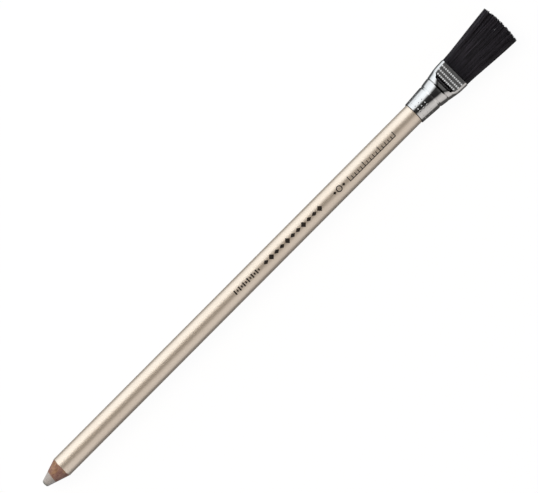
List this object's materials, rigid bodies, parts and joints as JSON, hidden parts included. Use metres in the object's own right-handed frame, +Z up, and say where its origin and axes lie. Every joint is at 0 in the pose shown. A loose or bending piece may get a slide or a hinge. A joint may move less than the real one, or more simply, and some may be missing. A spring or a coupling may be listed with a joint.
{
  "type": "eraser pencil with brush",
  "caption": "Round wood-cased eraser pencil, sharpened to a blunt cone, with a flat dusting brush in a dimpled round-to-flat metal ferrule at its other end.",
  "frame": {"origin": "centre of the bounding box's bottom face, on the surface that the pencil lies on, below the middle of its length", "axes": "+X along the pencil from the eraser's point to the brush, +Y across the width of the flat brush, +Z up, square to the brush's broad side and through the middle of the imprint"},
  "size_m": [0.2076, 0.0144, 0.0091],
  "materials": {
    "eraser": "matte warm grey rubber compound with a fine abrasive filler, cut by a sharpener",
    "cedar": "bare reddish brown cedar with a fine straight grain, cut by a sharpener",
    "wood_glue": "dried pale wood glue",
    "lacquer": "satin pearl lacquer in a pale champagne colour",
    "imprint_ink": "dark stamped foil, nearly black",
    "ferrule_metal": "thin bright nickel-plated sheet",
    "ferrule_adhesive": "set adhesive",
    "resin": "clear amber casting resin",
    "bristle": "fine black synthetic filament with a soft sheen"
  },
  "bodies": {
    "root": {"eraser_core": "eraser", "upper_slat": "cedar", "lower_slat": "cedar", "casing_glue": "wood_glue", "lacquer_coat": "lacquer", "imprint": "imprint_ink", "ferrule": "ferrule_metal", "ferrule_glue": "ferrule_adhesive", "bristle_glue": "resin", "bristles": "bristle"}
  },
  "joints": []
}
